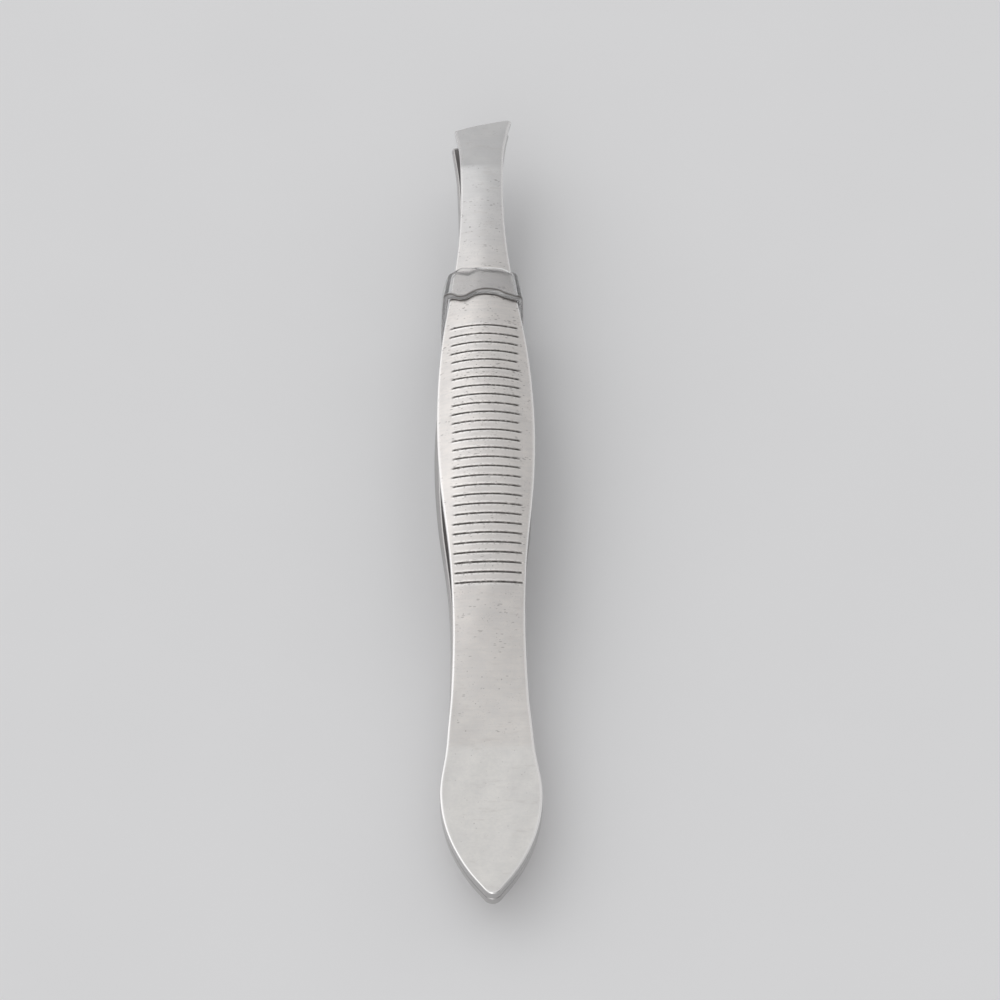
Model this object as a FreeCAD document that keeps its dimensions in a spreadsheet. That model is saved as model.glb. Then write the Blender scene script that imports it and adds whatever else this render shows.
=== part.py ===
# Slant tweezers, closed by a clear retaining band.
#
# Frame: X runs across the arms, Y runs along them from the welded tail (-Y) to the
# slanted jaws (+Y), Z is up from the parting plane between the two arms. The origin
# is the centre of the whole object. Stations are counted in mm from the tail's nose.
#
# Each arm is one stainless stamping. It is divided where it flexes into a flat
# welded tail, a spring section and a stiff dished blade, so that the motion of a
# bending strip can be held by hinges at the flexure.
import FreeCAD, Part
import math
import os
from FreeCAD import Vector

os.makedirs("parts", exist_ok=True)
doc = FreeCAD.newDocument("slant_tweezers")

# ---------------------------------------------------------------- driving dimensions
dims = doc.addObject("Spreadsheet::Sheet", "Dimensions")
rows = [
    ("overall_length", 92.0, "nose of the tail to the far corner of the jaws"),
    ("sheet_thickness", 1.05, "stainless sheet of each arm"),
    ("tip_thickness", 0.92, "sheet left at the jaws after grinding"),
    ("edge_radius", 0.20, "tumbled edge rounding"),
    ("nose_radius", 1.00, "rounded nose of the tail"),
    ("weld_end", 16.6, "station of the bend line where the flat welded tail ends"),
    ("weld_end_width", 8.51, "width of the arm at that station"),
    ("flexure_end", 33.6, "station where the spring section ends"),
    ("tail_offset", 0.11, "centre line of the welded tails, to the +X side"),
    ("jaw_half_gap", 0.62, "ground jaw face to the parting plane, as banded"),
    ("jaw_grind_start", 88.6, "station where the jaw face begins"),
    ("slant_left", 90.05, "station of the jaw's near corner"),
    ("slant_right", 92.0, "station of the jaw's far corner"),
    ("jaw_left", 2.80, "half width at the near corner"),
    ("jaw_right", 3.27, "half width at the far corner"),
    ("groove_first", 34.07, "station of the rearmost grip groove"),
    ("groove_last", 62.83, "station of the foremost grip groove"),
    ("groove_count", 29.0, "grip grooves on each arm"),
    ("groove_length", 6.8, "length of a groove across the arm"),
    ("groove_width", 0.18, "width of a groove"),
    ("groove_depth", 0.12, "depth of a groove"),
    ("nugget_diameter", 2.4, "spot-weld nugget"),
    ("nugget_height", 0.90, "spot-weld nugget, through the parting plane"),
    ("nugget_rear", 6.6, "station of the rear nugget"),
    ("nugget_front", 12.6, "station of the front nugget"),
    ("band_rear", 66.85, "station of the band's rear edge"),
    ("band_length", 2.85, "length of the band along the arms"),
    ("band_wall", 0.45, "band wall"),
    ("band_offset", -0.03, "middle of the band across the arms"),
    ("band_half_height", 5.70, "inside half height of the band, rear edge"),
    ("band_half_height_front", 5.58, "inside half height of the band, front edge"),
    ("band_half_width", 3.72, "inside half width of the band at mid height, rear edge"),
    ("band_half_width_front", 3.86, "inside half width of the band at mid height, front edge"),
    ("band_side_radius", 80.0, "bulge radius of the band's sides, rear edge"),
    ("band_side_radius_front", 20.0, "bulge radius of the band's sides, front edge"),
    ("band_crown_radius", 8.3, "inside radius of the band where it crosses an arm"),
    ("band_corner_radius", 0.25, "inside corner radius of the band"),
]
# crown line (height of the outer face on the centre line), half width and bow
# (sideways drop of the outer face per mm squared) at stations along the arm
stations = [
    (16.6, 1.052, 4.255, 0.0), (17.3, 1.0575, 4.193, 0.0),
    (18.0, 1.066, 4.140, 0.0), (19.0, 1.083, 4.053, 0.0),
    (20.0, 1.105, 3.962, 0.0), (21.0, 1.135, 3.876, 0.0015),
    (22.0, 1.175, 3.808, 0.0045), (24.0, 1.300, 3.703, 0.0110),
    (26.0, 1.497, 3.631, 0.0160), (28.0, 1.775, 3.579, 0.0190),
    (30.0, 2.120, 3.566, 0.0215), (32.0, 2.530, 3.595, 0.0245),
    (34.0, 3.010, 3.662, 0.0275), (36.0, 3.505, 3.775, 0.0305),
    (38.0, 3.955, 3.950, 0.0340), (40.0, 4.340, 4.168, 0.0375),
    (42.5, 4.745, 4.454, 0.0415), (45.0, 5.065, 4.691, 0.0455),
    (48.0, 5.335, 4.870, 0.0505), (51.0, 5.515, 4.946, 0.0550),
    (54.0, 5.645, 4.900, 0.0580), (57.0, 5.727, 4.744, 0.0603),
    (60.0, 5.763, 4.466, 0.0625), (62.0, 5.759, 4.212, 0.0640),
    (64.0, 5.733, 3.892, 0.0655), (66.0, 5.678, 3.540, 0.0670),
    (68.0, 5.592, 3.185, 0.0665), (70.0, 5.477, 2.885, 0.0660),
    (72.0, 5.331, 2.630, 0.0650), (74.0, 5.155, 2.440, 0.0640),
    (77.0, 4.835, 2.260, 0.0620), (80.0, 4.489, 2.178, 0.0600),
    (83.0, 4.130, 2.195, 0.0550), (85.0, 3.720, 2.240, 0.0500),
    (87.0, 2.890, 2.360, 0.0430), (88.5, 2.270, 2.560, 0.0370),
    (89.5, 1.960, 2.710, 0.0330), (90.5, 1.720, 2.880, 0.0300),
    (91.5, 1.550, 3.150, 0.0270), (93.0, 1.400, 3.520, 0.0240),
]
# sideways position of each arm's centre line: the two stampings lie exactly on each
# other where they are welded and drift apart by up to 0.3 mm further forward
centres = [
    (16.6, 0.110, 0.110), (20.0, 0.118, 0.070), (24.0, 0.140, -0.030), (30.0, 0.155, -0.085),
    (36.0, 0.160, -0.080), (42.0, 0.162, -0.080), (48.0, 0.150, -0.105), (54.0, 0.125, -0.160),
    (60.0, 0.095, -0.175), (66.0, 0.083, -0.145), (72.0, 0.088, -0.110), (77.0, 0.105, -0.095),
    (83.0, 0.140, -0.095), (88.0, 0.175, -0.095), (93.0, 0.190, -0.095),
]
dims.set("A1", "name")
dims.set("B1", "value in mm")
dims.set("C1", "meaning")
r = 2
for name, value, meaning in rows:
    dims.set(f"A{r}", name)
    dims.set(f"B{r}", str(value))
    dims.setAlias(f"B{r}", name)
    dims.set(f"C{r}", meaning)
    r += 1
r += 1
for i, (s_, z_, w_, k_) in enumerate(stations):
    for column, key, value in (("A", "station", s_), ("B", "crown", z_), ("C", "half_width", w_), ("D", "bow", k_)):
        dims.set(f"{column}{r + i}", str(value))
        dims.setAlias(f"{column}{r + i}", f"{key}_row_{i + 1:02d}")
r += len(stations) + 1
for i, (s_, u_, l_) in enumerate(centres):
    for column, key, value in (("A", "centre_station", s_), ("B", "upper_centre", u_), ("C", "lower_centre", l_)):
        dims.set(f"{column}{r + i}", str(value))
        dims.setAlias(f"{column}{r + i}", f"{key}_{i + 1:02d}")
doc.recompute()


def val(name):
    return float(dims.get(name))


L = val("overall_length")
T = val("sheet_thickness")
HALF = L / 2


def at(station):
    """Y of a station."""
    return station - HALF


table = [
    tuple(val(f"{key}_row_{i + 1:02d}") for key in ("station", "crown", "half_width", "bow"))
    for i in range(len(stations))
]


def arm_at(station):
    """Crown height, half width and bow at a station, by a natural cubic through the table."""
    return tuple(cubics[j](station) for j in range(3))


def cubic(xs, ys):
    n = len(xs)
    hs = [xs[i + 1] - xs[i] for i in range(n - 1)]
    a = [0.0] * n
    b = [1.0] * n
    c = [0.0] * n
    d = [0.0] * n
    for i in range(1, n - 1):
        a[i] = hs[i - 1]
        b[i] = 2 * (hs[i - 1] + hs[i])
        c[i] = hs[i]
        d[i] = 6 * ((ys[i + 1] - ys[i]) / hs[i] - (ys[i] - ys[i - 1]) / hs[i - 1])
    for i in range(1, n):
        f = a[i] / b[i - 1]
        b[i] -= f * c[i - 1]
        d[i] -= f * d[i - 1]
    m = [0.0] * n
    m[-1] = d[-1] / b[-1]
    for i in range(n - 2, -1, -1):
        m[i] = (d[i] - c[i] * m[i + 1]) / b[i]

    def f(x):
        i = 0
        while i < n - 2 and x > xs[i + 1]:
            i += 1
        u = (x - xs[i]) / hs[i]
        v = 1 - u
        return (
            v * ys[i] + u * ys[i + 1]
            + hs[i] ** 2 / 6 * ((v ** 3 - v) * m[i] + (u ** 3 - u) * m[i + 1])
        )

    return f


xs = [row[0] for row in table]
cubics = [cubic(xs, [row[j] for row in table]) for j in (1, 2, 3)]
centre_xs = [val(f"centre_station_{i + 1:02d}") for i in range(len(centres))]
centre_lines = {
    +1: cubic(centre_xs, [val(f"upper_centre_{i + 1:02d}") for i in range(len(centres))]),
    -1: cubic(centre_xs, [val(f"lower_centre_{i + 1:02d}") for i in range(len(centres))]),
}


# ---------------------------------------------------------------- dished strip
def section(station, z_top, w, k, thick, x0):
    """Closed outline of the sheet at a station: a circular arc of sheet with rounded edges."""
    y = at(station)
    rc = val("edge_radius")
    radius = 1.0 / (2 * max(k, 0.0001))
    zc = z_top - radius

    def p(rad, ang):
        return Vector(x0 + rad * math.sin(ang), y, zc + rad * math.cos(ang))

    ang = math.asin(w / radius)
    ro, ri = radius, radius - thick
    da_o = math.asin(rc / (ro - rc))
    da_i = math.asin(rc / (ri + rc))
    co, ci = ro - rc, ri + rc
    edges = []
    # outer face
    edges.append(Part.Arc(p(ro, -(ang - da_o)), p(ro, 0), p(ro, ang - da_o)).toShape())

    def corner(first, centre_rad, centre_ang, last, bulge_ang):
        c = p(centre_rad, centre_ang)
        d = Vector(math.sin(bulge_ang), 0, math.cos(bulge_ang))
        return Part.Arc(first, c + d * rc, last).toShape()

    def side(ang_sign):
        e = []
        s = ang_sign
        # points of the rounded edge: outer corner, flank, inner corner
        oc = p(co, s * (ang - da_o))
        ic = p(ci, s * (ang - da_i))
        a_rad = Vector(math.sin(s * ang), 0, math.cos(s * ang))
        a_tan = Vector(math.cos(s * ang), 0, -math.sin(s * ang)) * s
        o1 = p(ro, s * (ang - da_o))
        o2 = oc + a_tan * rc
        i1 = ic + a_tan * rc
        i2 = p(ri, s * (ang - da_i))
        mid_o = (Vector(math.sin(s * (ang - da_o)), 0, math.cos(s * (ang - da_o))) + a_tan).normalize()
        mid_i = (Vector(-math.sin(s * (ang - da_i)), 0, -math.cos(s * (ang - da_i))) + a_tan).normalize()
        e.append(Part.Arc(o1, oc + mid_o * rc, o2).toShape())
        e.append(Part.LineSegment(o2, i1).toShape())
        e.append(Part.Arc(i1, ic + mid_i * rc, i2).toShape())
        return e

    right = side(1)
    left = side(-1)
    inner = Part.Arc(p(ri, ang - da_i), p(ri, 0), p(ri, -(ang - da_i))).toShape()
    wire = Part.Wire([edges[0]] + right + [inner] + [left[2], left[1], left[0]])
    return wire


def thickness_at(station):
    """The sheet thins towards the ground jaws; the slope of the strip makes the upright section thicker."""
    base = T
    if station > 84.0:
        base = T + (val("tip_thickness") - T) * min(1.0, (station - 84.0) / 6.0)
    dz = (cubics[0](station + 0.05) - cubics[0](station - 0.05)) / 0.1 if 16.7 < station < 92.9 else 0.0
    return base * math.sqrt(1 + dz * dz)


def strip(marks, side):
    wires = []
    for s in marks:
        z, w, k = arm_at(s)
        wires.append(section(s, z, w, k, thickness_at(s), centre_lines[side](s)))
    return Part.makeLoft(wires, True, False)


def marks_between(first, last, extra=()):
    inside = [row[0] for row in table if first + 0.4 < row[0] < last - 0.4]
    return sorted(set([first] + inside + [last] + list(extra)))


# ---------------------------------------------------------------- grip grooves
def groove_stations():
    """The grooves are evenly spaced along the curved face, so closer together where it climbs."""
    n = int(round(val("groove_count")))
    first, last = val("groove_first"), val("groove_last")
    steps = 2000
    run = [0.0]
    for j in range(steps):
        a, b = first + (last - first) * j / steps, first + (last - first) * (j + 1) / steps
        run.append(run[-1] + math.hypot(b - a, cubics[0](b) - cubics[0](a)))
    out = []
    j = 0
    for i in range(n):
        goal = run[-1] * i / (n - 1)
        while j < steps - 1 and run[j + 1] < goal:
            j += 1
        out.append(first + (last - first) * (j + (goal - run[j]) / (run[j + 1] - run[j])) / steps)
    return out


def groove_tool(side):
    width, depth = val("groove_width"), val("groove_depth")
    tools = []
    for i, s in enumerate(groove_stations()):
        x0 = centre_lines[side](s)
        # a slightly irregular length, as the coined lines are
        half = val("groove_length") / 2 + 0.08 * math.sin(2.3 * i)
        z, w, k = arm_at(s)
        half = min(half, w - 0.25)
        radius = 1 / (2 * k)
        zc = z - radius
        slope = (cubics[0](s + 0.1) - cubics[0](s - 0.1)) / 0.2

        def p(rad, a, y):
            return Vector(x0 + rad * math.sin(a), y, zc + rad * math.cos(a) + slope * (y - at(s)))

        a = math.asin(half / radius)
        y0, y1 = at(s) - width / 2, at(s) + width / 2
        ro, ri = radius + 0.3, radius - depth
        wire = Part.Wire([
            Part.Arc(p(ro, -a, y0), p(ro, 0, y0), p(ro, a, y0)).toShape(),
            Part.LineSegment(p(ro, a, y0), p(ri, a, y0)).toShape(),
            Part.Arc(p(ri, a, y0), p(ri, 0, y0), p(ri, -a, y0)).toShape(),
            Part.LineSegment(p(ri, -a, y0), p(ro, -a, y0)).toShape(),
        ])
        tools.append(Part.Face(wire).extrude(Vector(0, width, slope * width)))
    return tools


# ---------------------------------------------------------------- arms
def feature(name, shape):
    o = doc.addObject("Part::Feature", name)
    o.Shape = shape
    o.Label = name
    return o


def arm_solids(side):
    """Spring section and blade of an arm, both drawn on the upper side."""
    weld, flex = val("weld_end"), val("flexure_end")
    spring = strip(marks_between(weld, flex), side)
    blade = strip(marks_between(flex, 93.0), side)
    # slanted end of the jaws
    x0 = centre_lines[side](val("slant_right"))
    a = Vector(x0 - val("jaw_left"), at(val("slant_left")), 0)
    b = Vector(x0 + val("jaw_right"), at(val("slant_right")), 0)
    d = (b - a).normalize()
    n = Vector(-d.y, d.x, 0)
    p0, p1 = a - d * 8, b + d * 8
    cutter = Part.Face(Part.makePolygon([
        p0 + Vector(0, 0, -2), p1 + Vector(0, 0, -2), p1 + n * 8 + Vector(0, 0, -2), p0 + n * 8 + Vector(0, 0, -2), p0 + Vector(0, 0, -2),
    ])).extrude(Vector(0, 0, 12))
    blade = blade.cut(cutter)
    # jaw face, ground parallel to the parting plane
    ground = Part.makeBox(12, 8, 4, Vector(-6, at(val("jaw_grind_start")), val("jaw_half_gap") - 4))
    blade = blade.cut(ground)
    return spring, blade


def arm_feature(side):
    """The three nodes of one arm; side is +1 for the upper arm and -1 for the lower."""
    name = "upper_arm" if side > 0 else "lower_arm"
    shift = Vector(val("tail_offset"), 0, 0)

    # flat welded tail: sketched leaf outline, padded to the sheet thickness
    body = doc.addObject("PartDesign::Body", f"{name}_tail")
    body.Label = f"{name}_tail"
    plane = [f for f in body.Origin.OriginFeatures if f.Role == "XY_Plane"][0]
    sk = body.newObject("Sketcher::SketchObject", f"{name}_leaf")
    sk.AttachmentSupport = [(plane, "")]
    sk.MapMode = "FlatFace"
    leaf = [
        (1.03, 1.290), (1.94, 1.975), (3.25, 2.806), (4.60, 3.492), (5.91, 4.031), (7.26, 4.445),
        (8.61, 4.728), (9.96, 4.885), (11.31, 4.930), (12.65, 4.838), (14.0, 4.630),
        (15.35, 4.410), (16.6, 4.255),
    ]
    nose = val("nose_radius")
    half_angle = math.radians(37.0)
    start = (nose * (1 - math.sin(half_angle)), nose * math.cos(half_angle))
    points_r = [Vector(start[1], at(start[0]), 0)] + [Vector(w, at(s), 0) for s, w in leaf]
    points_r[-1] = Vector(val("weld_end_width") / 2, at(val("weld_end")), 0)
    points_l = [Vector(-v.x, v.y, 0) for v in points_r]
    t0 = Vector(math.sin(half_angle), math.cos(half_angle), 0)
    t1 = Vector(-0.095, 1, 0)
    right = Part.BSplineCurve()
    right.interpolate(points_r, InitialTangent=t0 * 6, FinalTangent=t1 * 9)
    left = Part.BSplineCurve()
    left.interpolate(points_l, InitialTangent=Vector(-t0.x, t0.y, 0) * 6, FinalTangent=Vector(-t1.x, t1.y, 0) * 9)
    centre = Vector(0, at(nose), 0)
    g_nose = sk.addGeometry(Part.ArcOfCircle(
        Part.Circle(centre, Vector(0, 0, 1), nose), math.pi + half_angle, 2 * math.pi - half_angle), False)
    g_right = sk.addGeometry(right, False)
    g_left = sk.addGeometry(left, False)
    g_end = sk.addGeometry(Part.LineSegment(points_l[-1], points_r[-1]), False)
    Con = __import__("Sketcher").Constraint
    sk.addConstraint([
        Con("Coincident", g_nose, 2, g_right, 1),
        Con("Coincident", g_nose, 1, g_left, 1),
        Con("Coincident", g_left, 2, g_end, 1),
        Con("Coincident", g_right, 2, g_end, 2),
        Con("PointOnObject", g_nose, 3, -2),
        Con("Horizontal", g_end),
    ])
    i_r = sk.addConstraint(Con("Radius", g_nose, nose))
    i_w = sk.addConstraint(Con("DistanceX", g_end, 1, g_end, 2, val("weld_end_width")))
    i_s = sk.addConstraint(Con("DistanceY", g_end, 1, -1, 1, HALF - val("weld_end")))
    i_c = sk.addConstraint(Con("DistanceY", g_nose, 3, -1, 1, HALF - nose))
    i_x = sk.addConstraint(Con("DistanceX", -1, 1, g_end, 2, val("weld_end_width") / 2))
    for idx, cname, expr in (
        (i_r, "nose_radius", "Dimensions.nose_radius"),
        (i_w, "end_width", "Dimensions.weld_end_width"),
        (i_s, "end_station", "Dimensions.overall_length / 2 - Dimensions.weld_end"),
        (i_c, "nose_station", "Dimensions.overall_length / 2 - Dimensions.nose_radius"),
        (i_x, "end_half", "Dimensions.weld_end_width / 2"),
    ):
        sk.renameConstraint(idx, cname)
        sk.setExpression(f"Constraints.{cname}", expr)
    pad = body.newObject("PartDesign::Pad", f"{name}_tail_sheet")
    pad.Profile = sk
    pad.setExpression("Length", "Dimensions.sheet_thickness")
    pad.Reversed = side < 0
    doc.recompute()

    # tumbled edges, all round except at the cut to the spring section
    names = []
    for j, e in enumerate(pad.Shape.Edges):
        b = e.BoundBox
        if b.ZLength < 1e-6 and not (b.YLength < 1e-6 and abs(b.YMin - at(val("weld_end"))) < 1e-3):
            names.append(f"Edge{j + 1}")
    fil = body.newObject("PartDesign::Fillet", f"{name}_tail_edges")
    fil.Base = (pad, names)
    fil.setExpression("Radius", "Dimensions.edge_radius")
    doc.recompute()

    # seats of the two weld nuggets, half in each tail
    sk2 = body.newObject("Sketcher::SketchObject", f"{name}_nugget_seats")
    sk2.AttachmentSupport = [(plane, "")]
    sk2.MapMode = "FlatFace"
    for key in ("nugget_rear", "nugget_front"):
        y = at(val(key))
        g = sk2.addGeometry(Part.Circle(Vector(0, y, 0), Vector(0, 0, 1), val("nugget_diameter") / 2), False)
        c = sk2.addConstraint(Con("Diameter", g, val("nugget_diameter")))
        sk2.renameConstraint(c, f"{key}_dia")
        sk2.setExpression(f"Constraints.{key}_dia", "Dimensions.nugget_diameter")
        c = sk2.addConstraint(Con("DistanceY", g, 3, -1, 1, -y))
        sk2.renameConstraint(c, f"{key}_y")
        sk2.setExpression(f"Constraints.{key}_y", f"Dimensions.overall_length / 2 - Dimensions.{key}")
        sk2.addConstraint(Con("PointOnObject", g, 3, -2))
    pocket = body.newObject("PartDesign::Pocket", f"{name}_weld_seats")
    pocket.Profile = sk2
    pocket.setExpression("Length", "Dimensions.nugget_height / 2")
    pocket.Reversed = side > 0
    before = fil.Shape.Volume
    doc.recompute()
    taken = before - pocket.Shape.Volume
    want = 2 * math.pi * (val("nugget_diameter") / 2) ** 2 * val("nugget_height") / 2
    assert abs(taken - want) < 0.02 * want, (name, "weld seats", taken, want)
    body.Tip = pocket
    body.Placement = FreeCAD.Placement(shift, FreeCAD.Rotation())
    spring_shape, blade_shape = arm_solids(side)

    def side_of(shape):
        return shape if side > 0 else shape.mirror(Vector(0, 0, 0), Vector(0, 0, 1))

    spring = feature(f"{name}_spring", side_of(spring_shape))

    blank = feature(f"{name}_blank", side_of(blade_shape))
    grooves = feature(f"{name}_groove_lines", side_of(Part.makeCompound(groove_tool(side))))
    blade = doc.addObject("Part::Cut", f"{name}_blade")
    blade.Label = f"{name}_blade"
    blade.Base = blank
    blade.Tool = grooves
    doc.recompute()
    return [body, spring, blade]


parts = []
parts += arm_feature(+1)
parts += arm_feature(-1)

# ---------------------------------------------------------------- spot-weld nuggets
nug = []
for key in ("nugget_rear", "nugget_front"):
    c = doc.addObject("Part::Cylinder", f"{key}_disc")
    c.setExpression("Radius", "Dimensions.nugget_diameter / 2")
    c.setExpression("Height", "Dimensions.nugget_height")
    c.setExpression("Placement.Base.y", f"Dimensions.{key} - Dimensions.overall_length / 2")
    c.setExpression("Placement.Base.x", "Dimensions.tail_offset")
    c.setExpression("Placement.Base.z", "-Dimensions.nugget_height / 2")
    nug.append(c)
welds = doc.addObject("Part::Compound", "spot_welds")
welds.Label = "spot_welds"
welds.Links = nug
parts.append(welds)

# ---------------------------------------------------------------- retaining band


def band_outline(y, half_w, half_h, crown_r, side_r, corner_r):
    """Closed loop of arcs: a crown over each arm, small corners, gently bulging sides."""
    zt = half_h - crown_r
    xs_ = half_w - side_r
    # centre of the corner circle, tangent inside both the crown circle and the side circle
    r0, r1 = crown_r - corner_r, side_r - corner_r
    d = math.hypot(xs_, zt)
    a = (r0 * r0 - r1 * r1 + d * d) / (2 * d)
    h = math.sqrt(r0 * r0 - a * a)
    ux, uz = xs_ / d, -zt / d
    picks = [(a * ux + sgn * h * uz, zt + a * uz - sgn * h * ux) for sgn in (1, -1)]
    cx, cz = max(picks, key=lambda q: q[0] + q[1])
    u = Vector(cx, 0, cz - zt).normalize()
    v = Vector(cx - xs_, 0, cz).normalize()
    c = Vector(cx, y, cz)
    top = c + u * corner_r
    side_top = c + v * corner_r
    mid = c + (u + v).normalize() * corner_r
    x0 = Vector(val("band_offset"), 0, 0)

    def m(p, sx, sz):
        return Vector(p.x * sx, p.y, p.z * sz) + x0

    up, right = Vector(0, y, half_h), Vector(half_w, y, 0)
    e = [
        Part.Arc(m(top, -1, 1), m(up, 1, 1), m(top, 1, 1)).toShape(),
        Part.Arc(m(top, 1, 1), m(mid, 1, 1), m(side_top, 1, 1)).toShape(),
        Part.Arc(m(side_top, 1, 1), m(right, 1, 1), m(side_top, 1, -1)).toShape(),
        Part.Arc(m(side_top, 1, -1), m(mid, 1, -1), m(top, 1, -1)).toShape(),
        Part.Arc(m(top, 1, -1), m(up, 1, -1), m(top, -1, -1)).toShape(),
        Part.Arc(m(top, -1, -1), m(mid, -1, -1), m(side_top, -1, -1)).toShape(),
        Part.Arc(m(side_top, -1, -1), m(right, -1, 1), m(side_top, -1, 1)).toShape(),
        Part.Arc(m(side_top, -1, 1), m(mid, -1, 1), m(top, -1, 1)).toShape(),
    ]
    return Part.Wire(e)


def band_shape():
    y0 = at(val("band_rear"))
    y1 = y0 + val("band_length")
    wall = val("band_wall")
    ends = (
        (y0, val("band_half_width"), val("band_half_height"), val("band_side_radius")),
        (y1, val("band_half_width_front"), val("band_half_height_front"), val("band_side_radius_front")),
    )
    crown_r, corner_r = val("band_crown_radius"), val("band_corner_radius")
    loops = []
    for grow in (wall, 0.0):
        wires = [
            band_outline(y, hw + grow, hh + grow, crown_r + grow, sr + grow, corner_r + grow)
            for y, hw, hh, sr in ends
        ]
        loops.append(Part.makeLoft(wires, True, True))
    return loops[0].cut(loops[1])


band = feature("retaining_band", band_shape())
parts.append(band)

doc.recompute()

# ---------------------------------------------------------------- checks and export
for o in doc.Objects:
    bad = [st for st in o.State if st in ("Invalid", "Error")]
    assert not bad, (o.Name, o.State)
for o in parts:
    sh = o.Shape
    assert not sh.isNull() and sh.isValid(), o.Label
    assert sh.Volume > 0, o.Label
for o in parts:
    o.Shape.exportStep(f"parts/{o.Label}.step")
    b = o.Shape.BoundBox
    print(f"{o.Label:20s} solids {len(o.Shape.Solids)} volume {o.Shape.Volume:9.3f}  x {b.XMin:.2f} {b.XMax:.2f}  y {b.YMin:.2f} {b.YMax:.2f}  z {b.ZMin:.2f} {b.ZMax:.2f}")
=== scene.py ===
# Slant-tip tweezers: two sprung steel arms, welded at the tail, with a clear band round them.
# They lie along Y, tail nose at the -Y end and jaws towards +Y. X runs across the arms. The upper
# arm is at +Z and the lower arm mirrors it at -Z. Sizes are in mm unless a comment says otherwise.
# A "station" is a distance in mm along Y from the nose of the tail.
import math

import bpy
import numpy as np
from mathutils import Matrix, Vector


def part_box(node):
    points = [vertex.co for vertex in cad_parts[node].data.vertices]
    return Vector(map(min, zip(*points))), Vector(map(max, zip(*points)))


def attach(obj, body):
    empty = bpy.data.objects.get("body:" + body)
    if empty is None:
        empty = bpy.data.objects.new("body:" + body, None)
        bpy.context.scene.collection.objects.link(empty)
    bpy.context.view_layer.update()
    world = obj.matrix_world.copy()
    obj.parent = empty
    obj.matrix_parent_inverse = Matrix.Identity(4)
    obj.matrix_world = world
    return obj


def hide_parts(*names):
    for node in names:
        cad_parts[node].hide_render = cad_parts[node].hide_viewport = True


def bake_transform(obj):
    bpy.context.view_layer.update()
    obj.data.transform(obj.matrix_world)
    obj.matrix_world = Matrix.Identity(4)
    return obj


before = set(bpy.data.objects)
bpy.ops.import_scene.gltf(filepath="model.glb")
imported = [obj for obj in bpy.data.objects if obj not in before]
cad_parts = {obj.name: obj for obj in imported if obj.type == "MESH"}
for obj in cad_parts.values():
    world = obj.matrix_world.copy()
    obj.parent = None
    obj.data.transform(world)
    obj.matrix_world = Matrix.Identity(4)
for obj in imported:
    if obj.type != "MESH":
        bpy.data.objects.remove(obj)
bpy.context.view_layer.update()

MM = 0.001
scene = bpy.context.scene

# ------------------------------------------------------------------ sizes of the arms
tail_low, tail_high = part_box("upper_arm_tail")
NOSE_Y = tail_low.y / MM
SHEET = tail_high.z / MM         # sheet thickness; the tail's inner face lies on z = 0

# station, height of the outer face's middle, half width, bow (drop = bow * x * x, nearly)
PROFILE = [
    (16.6, 1.052, 4.255, 0.0), (17.3, 1.0575, 4.193, 0.0),
    (18.0, 1.066, 4.140, 0.0), (19.0, 1.083, 4.053, 0.0),
    (20.0, 1.105, 3.962, 0.0), (21.0, 1.135, 3.876, 0.0015),
    (22.0, 1.175, 3.808, 0.0045), (24.0, 1.300, 3.703, 0.0110),
    (26.0, 1.497, 3.631, 0.0160), (28.0, 1.775, 3.579, 0.0190),
    (30.0, 2.120, 3.566, 0.0215), (32.0, 2.530, 3.595, 0.0245),
    (34.0, 3.010, 3.662, 0.0275), (36.0, 3.505, 3.775, 0.0305),
    (38.0, 3.955, 3.950, 0.0340), (40.0, 4.340, 4.168, 0.0375),
    (42.5, 4.745, 4.454, 0.0415), (45.0, 5.065, 4.691, 0.0455),
    (48.0, 5.335, 4.870, 0.0505), (51.0, 5.515, 4.946, 0.0550),
    (54.0, 5.645, 4.900, 0.0580), (57.0, 5.727, 4.744, 0.0603),
    (60.0, 5.763, 4.466, 0.0625), (62.0, 5.759, 4.212, 0.0640),
    (64.0, 5.733, 3.892, 0.0655), (66.0, 5.678, 3.540, 0.0670),
    (68.0, 5.592, 3.185, 0.0665), (70.0, 5.477, 2.885, 0.0660),
    (72.0, 5.331, 2.630, 0.0650), (74.0, 5.155, 2.440, 0.0640),
    (77.0, 4.835, 2.260, 0.0620), (80.0, 4.489, 2.178, 0.0600),
    (83.0, 4.130, 2.195, 0.0550), (85.0, 3.720, 2.240, 0.0500),
    (87.0, 2.890, 2.360, 0.0430), (88.5, 2.270, 2.560, 0.0370),
    (89.5, 1.960, 2.710, 0.0330), (90.5, 1.720, 2.880, 0.0300),
    (91.5, 1.550, 3.150, 0.0270), (93.0, 1.400, 3.520, 0.0240),
]
# station, half width of the tail's leaf shape
LEAF = [
    (1.03, 1.290), (1.94, 1.975), (3.25, 2.806), (4.60, 3.492), (5.91, 4.031), (7.26, 4.445),
    (8.61, 4.728), (9.96, 4.885), (11.31, 4.930), (12.65, 4.838), (14.0, 4.630),
    (15.35, 4.410),
]
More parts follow.
